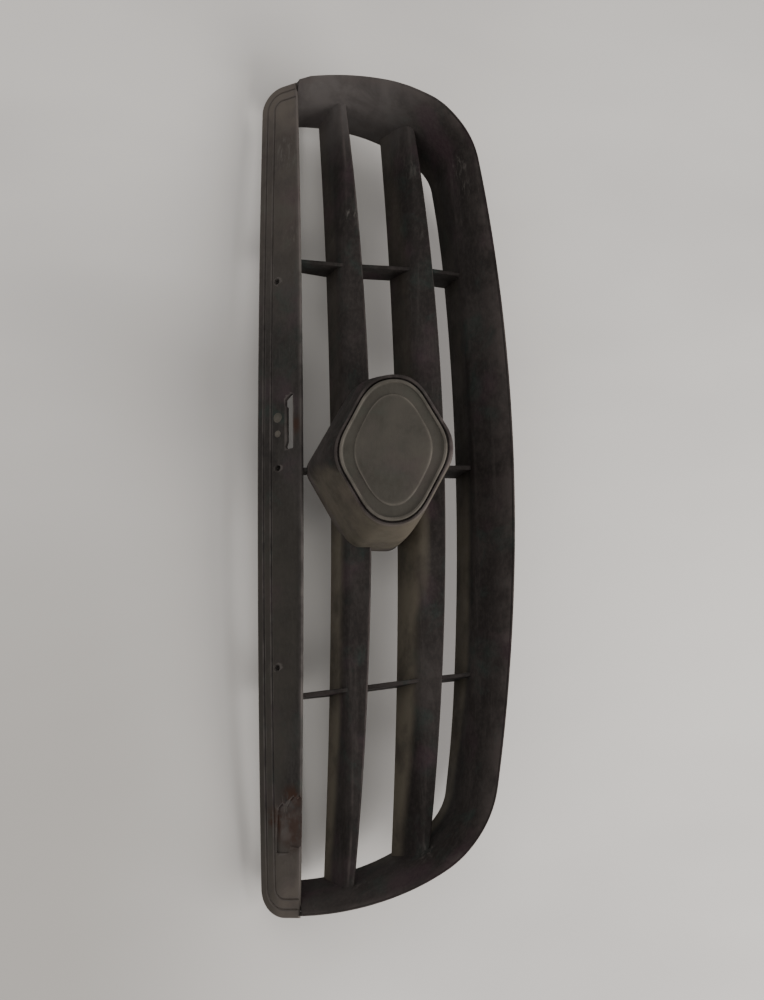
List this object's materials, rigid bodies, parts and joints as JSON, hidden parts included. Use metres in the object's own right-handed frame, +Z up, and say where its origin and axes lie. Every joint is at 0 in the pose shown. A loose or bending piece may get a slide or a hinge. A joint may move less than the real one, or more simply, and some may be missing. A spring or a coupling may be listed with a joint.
{
  "type": "front grille",
  "caption": "Moulded front grille: a sloping top rail, a funnel-shaped surround, horizontal louvre bars, upright ribs and a raised six-sided badge seat.",
  "frame": {"origin": "middle of the middle screw hole in the top rail, half way through its wall", "axes": "+X across the vehicle along the rail, +Y rearwards (the front faces -Y), +Z up"},
  "size_m": [0.64, 0.1311, 0.177],
  "materials": {
    "grille_plastic": "weathered, dusty",
    "rail_plastic": "weathered, scuffed",
    "badge_plastic": "worn, dusty",
    "spring_steel": "dull zinc"
  },
  "bodies": {
    "root": {"top_rail": "rail_plastic", "surround_bottom": "grille_plastic", "surround_left": "grille_plastic", "surround_right": "grille_plastic", "upper_bar_left": "grille_plastic", "upper_bar_right": "grille_plastic", "lower_bar_left": "grille_plastic", "lower_bar_right": "grille_plastic", "left_rib_upper": "grille_plastic", "left_rib_middle": "grille_plastic", "left_rib_lower": "grille_plastic", "right_rib_upper": "grille_plastic", "right_rib_middle": "grille_plastic", "right_rib_lower": "grille_plastic", "centre_rib_upper": "grille_plastic", "centre_rib_lower": "grille_plastic", "badge_skirt": "grille_plastic", "badge_backing": "grille_plastic", "badge_plate": "badge_plastic", "badge_push_nuts": "spring_steel", "lower_tab_outer_left": "grille_plastic", "lower_tab_inner_left": "grille_plastic", "lower_tab_inner_right": "grille_plastic", "lower_tab_outer_right": "grille_plastic", "lower_spring_clips": "spring_steel"}
  },
  "joints": []
}
